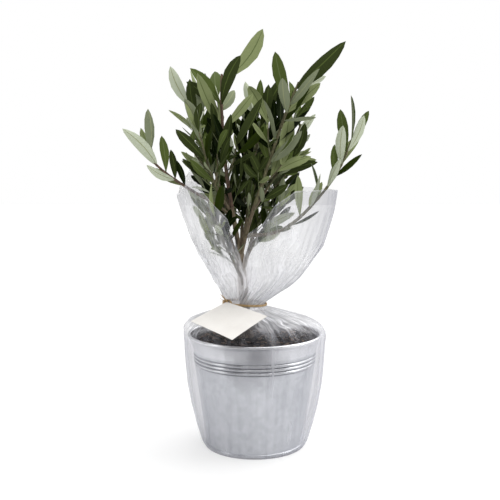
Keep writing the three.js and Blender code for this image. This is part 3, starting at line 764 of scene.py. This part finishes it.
def growTree():
    trunkLine = Line(trunk["way"])
    lines = {"trunk": trunkLine}
    taken = Taken()

    def takeLimb(name, line, start, end, radiusAt):
        count = ceil((end - start) * line.length / 2)
        shares = [start + (end - start) * i / count for i in range(count + 1)]
        taken.take(name, [line.pointAt(share) for share in shares], [radiusAt(share) for share in shares])

    takeLimb("trunk", trunkLine, 0, 1, trunkRadius)
    for limb in limbs:
        line = Line([lines[limb["from"]].pointAt(limb["at"]), *limb["way"]])
        limb["line"] = lines[limb["name"]] = line
        limb["radiusAt"] = partial(lerp, limb["radii"])
        takeLimb("bough_" + limb["name"], line, 0, limb["bare"], limb["radiusAt"])
        takeLimb(limb["name"], line, limb["bare"], 1, limb["radiusAt"])
    sprays = [spray for limb in limbs for spray in growMass(limb, taken)]
    for limb in limbs:
        share, seed = limb["shed"]
        draw = seededDraw(seed)
        for spray in (spray for spray in sprays if spray["limb"] is limb):
            spray["leaves"] = [leaf for leaf in spray["leaves"] if draw(0, 1) >= share]
    fillers = growHeart(taken)
    shoots = growShoots(sprays, taken)
    for kind, group in (("sprays", sprays), ("fillers", fillers), ("shoots", shoots)):
        print("grown:", len(group), kind, "with", sum(len(spray["leaves"]) for spray in group), "leaves")
    return trunkLine, sprays, fillers, shoots


trunkLine, sprays, fillers, shoots = growTree()


bark = {"step": 1.2, "sides": 18, "boughSides": 12, "relief": 0.28, "collar": 0.45, "collarReach": 5,
        "node": 0.22}
stems = {"step": 1.6, "sides": 8, "twigStep": 2, "twigCollar": 0.3, "youngStep": 4, "youngSides": 6,
         "relief": 0.07, "overlap": 0.004}


def barkFinish(name, dark, light, moss):
    skin = Finish(name)
    place = skin.place()
    fissures = skin.noise(skin.stretched(place, (1, 1, 0.28)), 620, 4, 0.6, 0.6)
    patches = skin.noise(place, 90, 3)
    colour = skin.blend(skin.ramp(fissures, 0.36, 0.66), dark, light)
    colour = skin.blend(skin.ramp(patches, 0.5, 0.75) * 0.6, colour, moss)
    relief = skin.bump(fissures, 0.7, 0.0006)
    return skin.coat(Base_Color=colour, Roughness=0.72 + 0.2 * patches, Normal=relief)


def stemRun(line, radiusAt, start, end, step, swell=0, knots=()):
    # Points and radii along a limb, swollen where it springs and at its leaf nodes.
    count = max(3, ceil((end - start) * line.length / step))
    run = []
    for i in range(count + 1):
        share = start + (end - start) * i / count
        radius = radiusAt(share) * (1 + swell * exp(-share * line.length / bark["collarReach"]))
        for knot in knots:
            radius *= 1 + bark["node"] * exp(-((share - knot) * line.length / 1.3) ** 2)
        run.append((line.pointAt(share), radius))
    return run


def roughen(shape, depth, scale):
    shape.normal_update()
    moves = []
    for vert in shape.verts:
        place = Vector((vert.co.x, vert.co.y, vert.co.z * 0.35))
        lump = noise.fractal(place * scale, 1, 2, 3) + 0.5 * noise.noise(place * 0.25)
        moves.append(vert.normal * lump * depth)
    for vert, move in zip(shape.verts, moves):
        vert.co += move


def joinShapes(*shapes):
    # One shape, whose faces take the materials in the order of their shapes.
    whole = bmesh.new()
    for index, shape in enumerate(shapes):
        for face in shape.faces:
            face.material_index = index
        mesh = bpy.data.meshes.new("part")
        shape.to_mesh(mesh)
        shape.free()
        whole.from_mesh(mesh)
        bpy.data.meshes.remove(mesh)
    return whole


def makeBark():
    foot = tubes("bark", [stemRun(trunkLine, trunkRadius, 0.02, 1, bark["step"])], bark["sides"])
    roughen(foot, bark["relief"] * 2, 0.8)
    runs = [stemRun(limb["line"], limb["radiusAt"], 0, limb["bare"], bark["step"], bark["collar"])
            for limb in limbs]
    boughs = tubes("boughs", runs, bark["boughSides"])
    roughen(boughs, bark["relief"] * 0.6, 1.1)
    finishes = [barkFinish("trunk bark", (0.065, 0.046, 0.030), (0.23, 0.18, 0.125), (0.15, 0.145, 0.10)),
                barkFinish("bough bark", (0.065, 0.046, 0.028), (0.19, 0.15, 0.09), (0.12, 0.12, 0.06))]
    nodes = ["trunk"] + ["bough_" + limb["name"] for limb in limbs]
    addShape("bark_limbs", joinShapes(foot, boughs), 60, finishes, nodes)


def makeStems():
    # The left leader and the left arm have red stems. The others are olive, and so are the twigs.
    redRuns, oliveRuns = [], []
    for limb in limbs:
        own = next(spray for spray in sprays if spray["limb"] is limb and not spray["stem"])
        knots = sorted({round(leaf["share"], 4) for leaf in own["leaves"]})
        start = limb["bare"] - stems["overlap"]
        run = stemRun(limb["line"], limb["radiusAt"], start, 1, stems["step"], 0, knots)
        (redRuns if limb["name"] in ("left_leader", "left_arm") else oliveRuns).append(run)
    oliveRuns += [stemRun(spray["stem"], partial(lerp, twigRule["radii"]), 0, 1, stems["twigStep"],
                          stems["twigCollar"]) for spray in sprays if spray["stem"]]
    youngRuns = [stemRun(shoot["stem"], partial(lerp, shootRule["radii"]), 0, 1, stems["youngStep"])
                 for shoot in fillers + shoots]
    red = tubes("red", redRuns, stems["sides"])
    olive = tubes("olive", oliveRuns, stems["sides"])
    young = tubes("young", youngRuns, stems["youngSides"])
    for shape in (red, olive):
        roughen(shape, stems["relief"], 1.3)
    finishes = [barkFinish("red stem", (0.045, 0.024, 0.017), (0.155, 0.095, 0.062), (0.10, 0.085, 0.045)),
                barkFinish("olive stem", (0.050, 0.046, 0.020), (0.165, 0.15, 0.075), (0.11, 0.12, 0.05)),
                barkFinish("young stem", (0.08, 0.095, 0.035), (0.20, 0.23, 0.11), (0.15, 0.18, 0.08))]
    addShape("leafy_stems", joinShapes(red, olive, young), 60, finishes, masses)


blade = {"rings": (0.03, 0.1, 0.22, 0.4, 0.6, 0.78, 0.92), "youngRings": (0.05, 0.3, 0.65, 0.9),
         "rib": 0.075, "thick": 0.42, "thickFrom": 34, "groove": 0.12, "least": 0.11,
         "outline": (0.95, 1.5), "blunt": 0.68, "fold": (-0.15, 0.5), "twist": (-0.55, 0.55),
         "sickle": (-0.085, 0.085), "light": (0.1, -0.8, 0.6), "turned": 0.35, "most": 32, "broad": 1.2,
         "young": 1.3, "seed": 77}
tones = {
    "deep leaf": (0.0025, 0.0065, 0.0005), "olive leaf": (0.020, 0.033, 0.003),
    "sage leaf": (0.076, 0.103, 0.027), "fresh leaf": (0.225, 0.262, 0.120),
    "top rib": (0.12, 0.15, 0.06), "shaded underside": (0.036, 0.048, 0.015),
    "grey underside": (0.205, 0.232, 0.145), "silver underside": (0.46, 0.50, 0.38),
    "under rib": (0.28, 0.30, 0.17), "dim rib": (0.022, 0.033, 0.009),
}
toneAt = {tone: index for index, tone in enumerate(tones)}
# The crown's middle, toward which the leaves are painted darker as painted shade, how far out from it the
# palest ones are, how far a leaf strays from its spray's tone, and how much paler the young leaves are.
heart = {"place": (-3, 6, 215), "reach": 155, "flat": (1, 1, 0.8), "stray": (-0.6, 0.6), "young": 0.15}


def leafFinish(name, colour):
    matt = "under" in name
    skin = Finish(name)
    veins = skin.noise(skin.place(), 700)
    rough = (0.6 if matt else 0.36) + 0.16 * veins
    return skin.coat(Base_Color=colour, Roughness=rough, Normal=skin.bump(veins, 0.12, 0.0003),
                     Specular_IOR_Level=0.02 if matt else 0.045, Specular_Tint=(0.8, 1, 0.35))


def turnToLight(leaf):
    # How far the blade rolls to show its nearer face to the light. Beside the film it stays as it grew.
    light = np.array(blade["light"])
    away = atan2(-light.dot(leaf["side"]), light.dot(leaf["face"]))
    if abs(away) > radians(105):
        away -= copysign(pi, away)
    most = radians(blade["most"])
    roll = min(max(away * blade["turned"], -most), most)
    samples = leafSamples({**leaf, "side": turned(leaf["side"], leaf["axis"], roll)})
    return 0 if nearFilm(samples) else roll


def leafGrid(leaf, rings, draw):
    # The points of a thin closed blade: a foot, rings of six, of which the middle four are the rib, a tip.
    shares = np.array(rings)
    turn = leaf["bend"] * shares
    outline = np.sin(pi * shares ** draw(*blade["outline"])) ** blade["blunt"]
    half = leaf["width"] * 0.5 * np.maximum(blade["least"], outline)
    fold, twist, sickle = draw(*blade["fold"]), draw(*blade["twist"]), draw(*blade["sickle"])
    twist = twist * shares + turnToLight(leaf) * np.minimum(shares / 0.25, 1)
    thick = blade["thick"] * min(1, leaf["length"] / blade["thickFrom"])
    middle = leafPoint(leaf, shares, 0 * shares)
    middle = middle + np.outer(sickle * leaf["length"] * np.sin(pi * shares), leaf["side"])
    up = np.outer(np.cos(turn), leaf["face"]) - np.outer(np.sin(turn), leaf["axis"])
    side = np.outer(np.cos(twist), leaf["side"]) + up * np.sin(twist)[:, None]
    lift = up * np.cos(twist)[:, None] - np.outer(np.sin(twist), leaf["side"])
    rows = []
    for across, rise in ((-1, 0), (-1, 0.5), (1, 0.5), (1, 0), (1, -0.5), (-1, -0.5)):
        reach = across * half * (blade["rib"] if rise else 1)
        crown = rise * thick - blade["groove"] if rise else fold * half
        rows.append(middle + side * reach[:, None] + lift * (np.ones_like(half) * crown)[:, None])
    ring = np.stack(rows, 1).reshape(-1, 3)
    tip = leafPoint(leaf, np.array([1.0]), np.array([0.0]))
    return np.vstack([leaf["base"][None], ring, tip])


def leafFaces(rings, first, top, under):
    topRib = toneAt["top rib" if top > toneAt["olive leaf"] else "dim rib"]
    underRib = toneAt["under rib" if under > toneAt["shaded underside"] else "sage leaf"]
    faces, kinds = [], []
    for k, kind in enumerate((top, topRib, top, under, underRib, under)):
        nextK = (k + 1) % 6
        faces.append((first, first + 1 + nextK, first + 1 + k))
        for ring in range(rings - 1):
            a, b = first + 1 + ring * 6 + k, first + 1 + ring * 6 + nextK
            # Both sides of a half are split along the same diagonal, so that they never cross.
            faces.append((b, b + 6, a + 6, a) if k in (2, 4, 5) else (a, b, b + 6, a + 6))
        last = first + 1 + (rings - 1) * 6
        faces.append((last + k, last + nextK, first + 1 + rings * 6))
        kinds += [kind] * (rings + 1)
    return faces, kinds


def makeLeaves(name, groups, rings, paler, broader):
    # A spray takes its tone by how far out it grows, darker toward the crown's middle as painted shade, and
    # its leaves stray from it as their limb deals.
    points, faces, kinds, first = [], [], [], 0
    dealers = {limb["name"]: seededDraw(limb["dealt"]) for limb in limbs}
    for spray in groups:
        if not spray["leaves"]:
            continue
        deal = dealers[spray["limb"]["name"]]
        middle = np.mean([leafPoint(leaf, 0.6, 0) for leaf in spray["leaves"]], axis=0)
        away = np.linalg.norm((middle - np.array(heart["place"])) * heart["flat"])
        for leaf in spray["leaves"]:
            draw = seededDraw(blade["seed"] + int(leaf["length"] * 9973))
            for _ in range(2):
                draw(0, 1)  # the first draws of seeds that are close are alike
            # Painted shade: the tone darkens toward the crown's middle.
            shade = away / heart["reach"] + paler + deal(*heart["stray"])
            shade = min(max(shade, 0), 0.99)
            grid = leafGrid({**leaf, "width": leaf["width"] * broader}, rings, draw)
            under = toneAt["shaded underside"] + int(shade * 3)
            newFaces, newKinds = leafFaces(len(rings), first, int(shade * 4), under)
            points.append(grid)
            faces += newFaces
            kinds += newKinds
            first += len(grid)
    mesh = bpy.data.meshes.new(name)
    mesh.from_pydata((np.vstack(points) * metre).tolist(), [], faces)
    mesh.polygons.foreach_set("material_index", kinds)
    smooth(mesh, 70)
    addPiece(name, mesh, [leafFinish(tone, colour) for tone, colour in tones.items()], masses)


makeBark()
makeStems()
makeLeaves("leaf_blades", sprays + fillers, blade["rings"], 0, blade["broad"])
makeLeaves("young_leaves", shoots, blade["youngRings"], heart["young"], blade["young"])


wrap = {"turns": 384, "floorRows": 8, "skirtRows": 76, "flareRows": 64, "pleats": 34, "samples": 400,
        "inset": 0.3, "floorPleats": 11, "floorCrease": 0.25, "floorCover": 0.15, "hem": 0.25}
# How deep the gathered pleats are by height, deepest just above and below the tie, how deep the small
# crumples are, and how far the open film waves.
pleatDepth = [(0, 0.1), (90, 0.15), (108, 0.5), (118, 1.3), (127, 1.5), (133, 0.5), (137, 0.5),
              (146, 1.9), (165, 2.0), (195, 0.9), (225, 0.3), (280, 0.25)]
crumpleDepth = [(0, 0.2), (12, 0.1), (98, 0.1), (110, 0.7), (120, 1), (150, 1.2), (180, 1.3), (215, 0.6),
                (280, 0.4)]
waveDepth = [(0, 0), (150, 0), (200, 1.2), (280, 3.5)]
# A clear panel at the right: how clear it is by the angle from its middle and by height.
panel = {"middle": 15, "across": [(42, 1), (78, 0)], "up": [(158, 0), (194, 1)], "cover": 0.2}


def skirtPoint(height, angle, out):
    reach = between(film["skirt"], height) + out
    share = np.clip((height - film["potTop"]) / (tieHeight - film["potTop"]), 0, 1)
    oval = np.clip((height - film["ovalFrom"]) / (tieHeight - film["ovalFrom"]), 0, 1)
    deep = 1 + (neck["deep"] / neck["wide"] - 1) * oval
    return neck["x"] * share + reach * cos(angle), reach * deep * sin(angle), height


def flarePoint(height, angle, out):
    wide = np.mean([flareWide(height + step) for step in (-8, -4, 0, 4, 8)])
    wide = lerp((flareWide(height), wide), min((height - tieHeight) / 8, 1))
    deep = wide * flareDepth(height)
    return flareAxis(height) + (wide + out) * cos(angle), (deep + out) * sin(angle), height


def foldOut(angle, height):
    def swirl(scale, place):
        return noise.noise(Vector((cos(angle) * scale, sin(angle) * scale, place)))

    drift = 0.35 * swirl(2, height * 0.03)
    wave = (angle * wrap["pleats"] / tau + drift * 3) % 1
    pleat = (abs(wave * 2 - 1) - 0.5) * 2
    uneven = 0.6 + 0.8 * (swirl(5, 3) + 0.5)
    out = pleat * between(pleatDepth, height) * 0.5 * uneven
    place = Vector((cos(angle) * 60, sin(angle) * 60, height * 0.45))
    ridge = 1 - abs(noise.noise(place * 0.07)) * 2.4
    out += (max(ridge, 0) ** 2 - 0.3) * between(crumpleDepth, height)
    out += between(waveDepth, height) * sin(angle * 5 + 0.6 + height * 0.01) * 0.6
    return out


def skirtHeights():
    # The heights of the skirt's rows, set evenly along its outline.
    heights = np.linspace(0, tieHeight, wrap["samples"])
    slope = np.gradient([between(film["skirt"], z) for z in heights], tieHeight / (wrap["samples"] - 1))
    steps = np.cumsum(np.maximum(0.25, np.hypot(1, slope)))
    return np.interp(np.linspace(0, steps[-1], wrap["skirtRows"] + 1), steps, heights)


def makeFilm():
    shape = bmesh.new()
    rows = wrap["floorRows"] + wrap["skirtRows"] + wrap["flareRows"]
    bmesh.ops.create_grid(shape, x_segments=wrap["turns"], y_segments=rows, size=0.5)
    layer = shape.loops.layers.uv.new("sheet")
    creased = shape.verts.layers.float.new("creased")
    heights = skirtHeights()
    foot = film["skirt"][0][1]
    for face in shape.faces:
        for loop in face.loops:
            loop[layer].uv = (loop.vert.co.x + 0.5, loop.vert.co.y + 0.5)
    for vert in shape.verts:
        angle = (vert.co.x + 0.5) * tau
        row = round((vert.co.y + 0.5) * rows) - wrap["floorRows"]
        if row < 0:
            share = (row + wrap["floorRows"]) / wrap["floorRows"]
            crease = wrap["floorCrease"] * abs(sin(angle * wrap["floorPleats"])) * share
            vert.co = (foot * share * cos(angle), foot * share * sin(angle), crease)
            vert[creased] = wrap["floorCover"]
        elif row <= wrap["skirtRows"]:
            out = foldOut(angle, heights[row]) if heights[row] > 1 else 0
            vert.co = skirtPoint(heights[row], angle, out - wrap["inset"])
            vert[creased] = between(film["cover"], heights[row])
        else:
            share = (row - wrap["skirtRows"]) / wrap["flareRows"]
            height = tieHeight + (edgeHeight(angle) - tieHeight) * share ** 1.15
            vert.co = flarePoint(height, angle, foldOut(angle, height) - wrap["inset"])
            beside = abs((degrees(angle) + 90) % 360 - 90 - panel["middle"])
            clearer = between(panel["across"], beside) * between(panel["up"], height)
            cover = lerp((between(film["cover"], height), panel["cover"]), clearer)
            vert[creased] = cover + (wrap["hem"] if share == 1 else 0)
    bmesh.ops.remove_doubles(shape, verts=shape.verts, dist=1e-3)
    addShape("film_wrap", shape, None, [filmFinish()], ["film_skirt", "film_flare"])


def filmFinish():
    # Where the film is gathered it crumples into facets, partly frosted white and partly painted
    # highlights; elsewhere it is clear, with a few long streaks that carry painted glints. A band on the
    # shoulder is painted dark as painted shade.
    clear = Finish("clear film")
    sheet = clear.place("UV")
    place = clear.place()
    dense = clear.add("Attribute", {"attribute_name": "creased"}, out="Fac")
    drift = clear.noise(place, 38, out="Color")
    shift = {0: drift, 1: (0.06, 0.1, 0), 2: sheet}
    warped = clear.add("VectorMath", {"operation": "MULTIPLY_ADD"}, shift)
    facets = clear.stretched(warped, (52, 9, 1))
    shade = clear.level(clear.cells(facets, 1, out="Color"))
    crease = 1 - clear.ramp(clear.cells(facets, 1, "DISTANCE_TO_EDGE"), 0, 0.16)
    streak = clear.ramp(clear.noise(clear.stretched(warped, (120, 6, 1)), 1, 3, 0.6), 0.42, 0.66)
    long = clear.ramp(clear.noise(clear.stretched(sheet, (34, 1.4, 1)), 1, 3, 0.55), 0.48, 0.7)
    patch = clear.ramp(clear.noise(place, 24, 2, 0.5, 0.6), 0.34, 0.66)
    soft = clear.ramp(clear.noise(place, 14, 3, 0.55, 0.4), 0.3, 0.7)
    rim = clear.add("LayerWeight", sockets={"Blend": 0.5}, out="Facing")
    crumpled = clear.ramp(dense, 0.24, 0.6)
    height = clear.axis(place, 2)
    dome = clear.ramp(height, 0.104, 0.109) - clear.ramp(height, 0.114, 0.124)
    shoulder = clear.ramp(height, 0.117, 0.122) - clear.ramp(height, 0.127, 0.133)
    long = long * (1 - clear.ramp(height, 0.150, 0.180))
    crinkled = clear.cells(clear.stretched(place, (1, 1, 0.6)), 150, "DISTANCE_TO_EDGE")
    crinkle = (1 - clear.ramp(crinkled + streak * 0.06, 0, 0.14)) * clear.ramp(height, 0.136, 0.150)
    folds = 0.2 + (0.2 * streak + 0.2 * crease + 0.12 * crinkle) * patch + 0.16 * shade + 0.44 * soft
    radial = 0.05 + (1.25 * streak + 0.3 * crease + 0.15 * shade) * patch
    folds = folds * (1 - dome) + radial * dome
    cover = crumpled * dense * folds + (1 - crumpled) * (0.2 - 0.15 * dome + 0.2 * long)
    cover = cover + rim ** 2 * 0.45 + 0.32 * shoulder
    # The gathered film's white: partly the frosting of the crumpled film, partly painted highlights on its
    # streaks and facets.
    frostAndHighlight = clear.ramp(shade * 0.4 + streak * 0.3 + crinkle * 0.1 + soft * 0.6, 0.25, 0.95)
    gathered = clear.blend(frostAndHighlight, (0.36, 0.365, 0.395), (0.94, 0.94, 0.98))
    # Painted shade: the shoulder band is darkened.
    gathered = clear.blend(0.6 * shoulder * (1 - streak), gathered, (0.10, 0.10, 0.105))
    # Painted glints: the clear film is whiter along the long streaks.
    plain = clear.blend(long * 0.7, (0.22, 0.222, 0.29), (0.62, 0.62, 0.67))
    colour = clear.blend(crumpled, plain, gathered)
    heights = crumpled * (streak * 0.3 + shade * 0.3 + crease * 0.4 + crinkle * 0.35) + long * 0.4
    shine = clear.surface(Base_Color=colour, Roughness=0.3, Normal=clear.bump(heights, 0.5, 0.0014),
                          IOR=1.12, Transmission_Weight=0.3, Coat_Weight=0.25 + 0.45 * crumpled,
                          Coat_Roughness=0.08)
    through = clear.add("BsdfTransparent")
    return clear.finish(clear.add("MixShader", sockets={0: cover.clamp(), 1: through, 2: shine}))


makeFilm()


raffia = {"strands": 6, "radius": 0.4, "band": 0.7, "reach": 1.5, "twist": 3.5, "lean": 0.06,
          "steps": 120, "loops": 5, "loopSteps": 24, "knot": 1.5, "knotAt": 222, "tails": 6,
          "tail": (7, 13), "seed": 23}


def tiePoint(angle, reach, rise):
    x = neck["x"] + (neck["wide"] + reach) * cos(angle)
    y = (neck["deep"] + reach) * sin(angle)
    return np.array((x, y, tieHeight - raffia["lean"] * (x - neck["x"]) + rise))


def raffiaFinish():
    straw = Finish("raffia")
    place = straw.place()
    fibres = straw.noise(straw.stretched(place, (1, 1, 2.4)), 900, 3, 0.6, 0.4)
    colour = straw.blend(straw.ramp(fibres, 0.35, 0.68), (0.27, 0.16, 0.07), (0.66, 0.48, 0.25))
    relief = straw.bump(fibres, 0.6, 0.0005)
    return straw.coat(Base_Color=colour, Roughness=0.6 + 0.2 * fibres, Normal=relief)


def strandRun(i):
    run = []
    for step in range(raffia["steps"] + 1):
        angle = tau * step / raffia["steps"]
        spin = tau * i / raffia["strands"] + raffia["twist"] * angle
        wide = raffia["band"] * (1 + 0.2 * sin(angle * 3 + i))
        reach = raffia["reach"] + wide * cos(spin) * 0.7
        run.append((tiePoint(angle, reach, wide * sin(spin)), raffia["radius"]))
    return run


def loopRun(i, knot):
    lean = Matrix.Rotation(i * 0.7, 3, "Z") @ Matrix.Rotation(0.5 + i * 0.55, 3, "X")
    run = []
    for step in range(raffia["loopSteps"] + 1):
        turn = tau * step / raffia["loopSteps"]
        flat = Vector((2.7 * cos(turn), 2.2 * sin(turn), 0.5 * sin(2 * turn + i)))
        run.append((knot + np.array(lean @ flat) * raffia["knot"], raffia["radius"] * raffia["knot"]))
    return run


def tailRun(i, knot, draw):
    # Four tails stand up from the knot, and the rest hang.
    lean = draw(-0.9, 0.5)
    length = draw(*raffia["tail"])
    way = np.array((-0.5 + lean * 0.5, -0.5 + 0.2 * lean, 1 if i < 4 else -0.55))
    run = []
    for step in range(9):
        share = step / 8
        fray = np.array((draw(-0.15, 0.15), draw(-0.15, 0.15), -0.6 * share ** 2 * length * 0.3))
        run.append((knot + way * (length * share) + fray, raffia["radius"] * (1 - 0.55 * share)))
    return run


def makeRaffia():
    draw = seededDraw(raffia["seed"])
    knot = tiePoint(radians(raffia["knotAt"]), 3, 0.4)
    runs = [strandRun(i) for i in range(raffia["strands"])]
    runs += [loopRun(i, knot) for i in range(raffia["loops"])]
    runs += [tailRun(i, knot, draw) for i in range(raffia["tails"])]
    addShape("raffia_wrap", tubes("raffia", runs, 6), 70, [raffiaFinish()], ["raffia_tie"])


makeRaffia()


card = {"side": 48, "thick": 0.45, "at": (-23, -47, 129), "tilt": (18.6, -2.9, 5), "bow": 0.0011,
        "cuts": 24, "dark": (0.67, 0.645, 0.61), "light": (0.75, 0.73, 0.695)}


def cardFinish():
    board = Finish("card")
    place = board.place()
    fibre = board.noise(place, 1500, 3, 0.6)
    tone = board.ramp(fibre * 0.5 + board.noise(place, 60) * 0.5, 0.35, 0.65)
    colour = board.blend(tone, card["dark"], card["light"])
    relief = board.bump(fibre, 0.15, 0.0003)
    return board.coat(Base_Color=colour, Roughness=0.7 + 0.1 * fibre, Normal=relief)


def makeCard():
    shape = bmesh.new()
    bmesh.ops.create_grid(shape, x_segments=card["cuts"], y_segments=card["cuts"], size=card["side"] / 2)
    bmesh.ops.rotate(shape, matrix=Matrix.Rotation(radians(45), 3, "Z"), verts=shape.verts)
    bmesh.ops.solidify(shape, geom=shape.faces[:], thickness=card["thick"])
    for vert in shape.verts:
        vert.co.z -= card["bow"] * vert.co.y ** 2
    for angle, axis in zip(card["tilt"], "XYZ"):
        bmesh.ops.rotate(shape, matrix=Matrix.Rotation(radians(angle), 3, axis), verts=shape.verts)
    bmesh.ops.translate(shape, vec=card["at"], verts=shape.verts)
    bmesh.ops.recalc_face_normals(shape, faces=shape.faces)
    addShape("bare_card", shape, 40, [cardFinish()], ["gift_card"])


makeCard()
